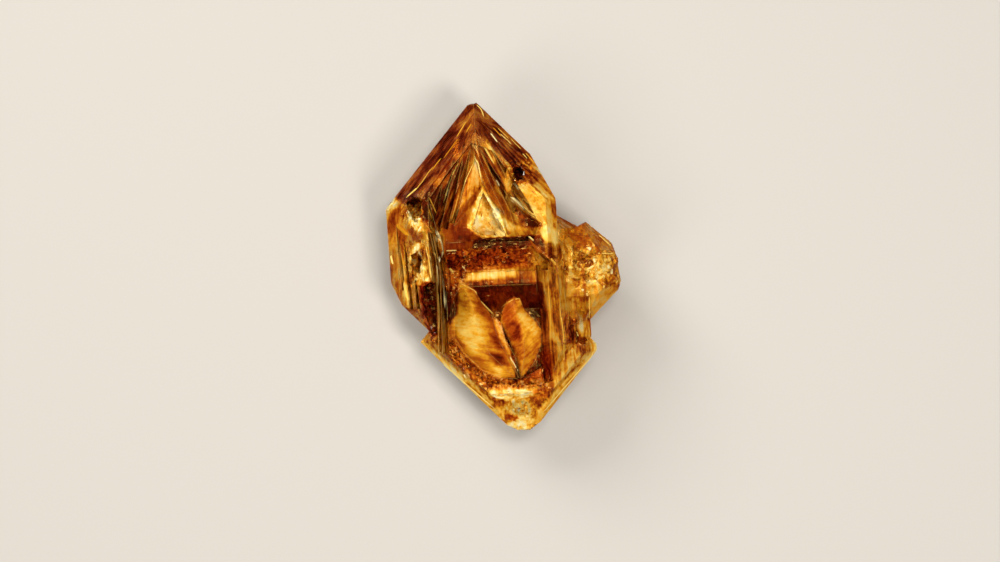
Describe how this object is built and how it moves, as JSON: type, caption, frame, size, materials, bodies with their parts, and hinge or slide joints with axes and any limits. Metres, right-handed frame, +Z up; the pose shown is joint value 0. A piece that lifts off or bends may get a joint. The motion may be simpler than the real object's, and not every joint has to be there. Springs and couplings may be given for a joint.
{
  "type": "citrine crystal point",
  "caption": "Golden doubly terminated quartz crystal with a stepped hollow front and small crystals grown into one side, lying on its rear face.",
  "frame": {"origin": "middle of the bounding box's underside, in the plane that the crystal lies on", "axes": "+Y along the crystal's c axis, towards its larger tip; +Z up, out of its front prism face; +X towards the side crystal"},
  "size_m": [0.0414, 0.0596, 0.0211],
  "materials": {
    "amber_quartz": "polished, clear amber, iron-stained in its hollows"
  },
  "bodies": {
    "root": {"citrine_crystal": "amber_quartz"}
  },
  "joints": []
}
